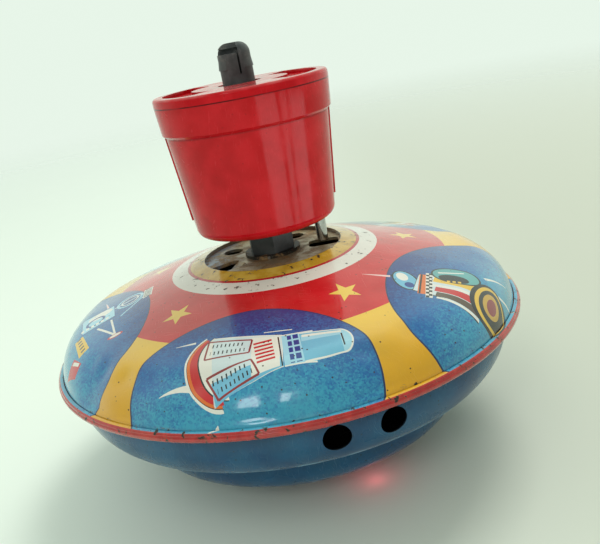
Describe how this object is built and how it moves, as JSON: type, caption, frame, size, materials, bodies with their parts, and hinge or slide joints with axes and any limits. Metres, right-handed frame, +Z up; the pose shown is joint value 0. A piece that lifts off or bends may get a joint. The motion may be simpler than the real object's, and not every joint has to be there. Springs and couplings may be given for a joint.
{
  "type": "spinning top with hand launcher",
  "caption": "Hollow tin spinning top with a rolled rim, stepped lower shell, hum holes and a recessed hub that carries a round spring launcher with a lock pin.",
  "frame": {"origin": "on the spin axis where the steel tip meets the table", "axes": "+Z up along the spin axis, -Y towards the face with the hum holes nearest"},
  "size_m": [0.118, 0.118, 0.1034],
  "materials": {
    "litho_tin": "gloss lithographed tinplate",
    "blue_tin": "gloss blue enamel",
    "hub_steel": "aged tinplate with light rust",
    "tube_steel": "plain drawn steel",
    "washer_steel": "darkened steel",
    "red_plastic": "polished moulded red plastic",
    "tip_plastic": "polished red plastic",
    "black_plastic": "moulded dark plastic",
    "pin_steel": "bright drawn wire",
    "spring_steel": "blued spring steel"
  },
  "bodies": {
    "spinner": {"upper_shell": "litho_tin", "lower_shell": "blue_tin", "hub_plate": "hub_steel", "hub_tube": "tube_steel", "hub_boss": "tube_steel", "floor_washer": "tube_steel", "hub_washer": "washer_steel", "tip_cap": "tip_plastic", "tip_point": "pin_steel"},
    "stem": {"stem": "black_plastic", "lift_spring": "spring_steel"},
    "arbor": {"arbor": "black_plastic"},
    "handle": {"handle_body": "red_plastic", "handle_lid": "red_plastic", "lock_pin": "pin_steel", "spring_anchor": "pin_steel", "spring_plate": "washer_steel", "spring_cover": "washer_steel", "mainspring": "spring_steel"}
  },
  "joints": [
    {"name": "launcher_lift", "type": "slide", "parent": "spinner", "child": "stem", "axis": [0, 0, 1], "range_m": [0, 0.02]},
    {"name": "handle_press", "type": "slide", "parent": "stem", "child": "arbor", "axis": [0, 0, 1], "range_m": [-0.004, 0.005], "stiffness_N_per_m": 400, "springref_m": 0.0007, "deforming": ["lift_spring"]},
    {"name": "handle_wind", "type": "hinge", "parent": "arbor", "child": "handle", "pos_m": [0, 0, 0.0832], "axis": [0, 0, 1], "range_deg": [0, 1440]}
  ]
}
